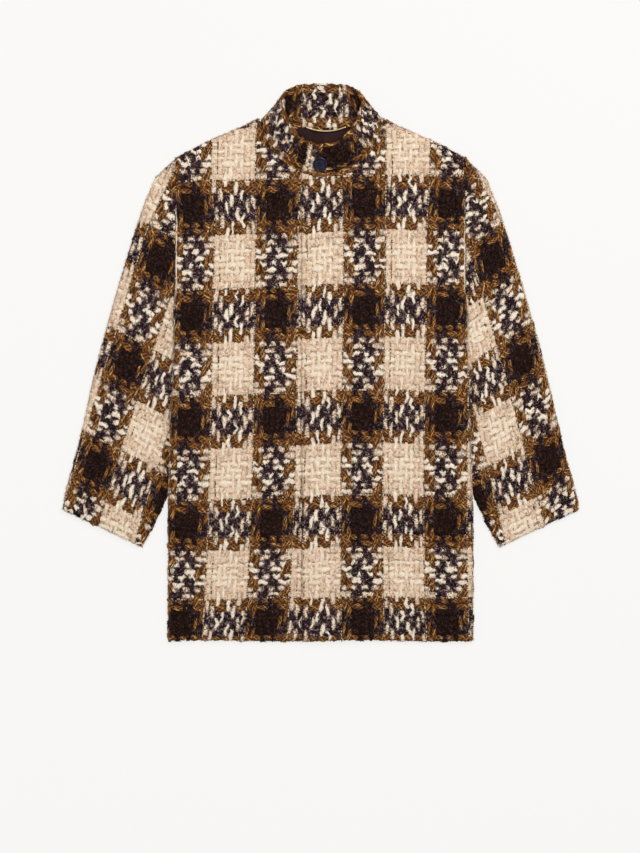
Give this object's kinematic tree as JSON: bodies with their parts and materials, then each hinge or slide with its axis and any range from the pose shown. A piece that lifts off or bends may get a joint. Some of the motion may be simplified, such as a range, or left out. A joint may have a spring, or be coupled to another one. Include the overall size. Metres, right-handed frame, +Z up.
{
  "type": "short coat laid flat",
  "caption": "Short straight coat in thick checked woven cloth, with a buttoned stand collar, hidden front closing and set-in sleeves, laid flat with its front up.",
  "frame": {"origin": "on the surface it lies on, under the middle of the coat's box", "axes": "+X to the wearer's left, +Y from the hem to the collar, +Z up out of the coat's front"},
  "size_m": [0.85, 0.917, 0.0313],
  "materials": {
    "checked_cloth": "thick bouclé tweed in a cream, tan, brown and dark aubergine block check",
    "brown_satin": "dark brown satin lining",
    "gilt_metal": "polished gilt",
    "navy_plastic": "semi-gloss navy"
  },
  "bodies": {
    "root": {"back": "checked_cloth", "front_left": "checked_cloth", "front_right": "checked_cloth", "top_sleeve_left": "checked_cloth", "under_sleeve_left": "checked_cloth", "top_sleeve_right": "checked_cloth", "under_sleeve_right": "checked_cloth", "collar": "checked_cloth", "lining_back": "brown_satin", "hanger_loop": "gilt_metal", "button": "navy_plastic"}
  },
  "joints": []
}
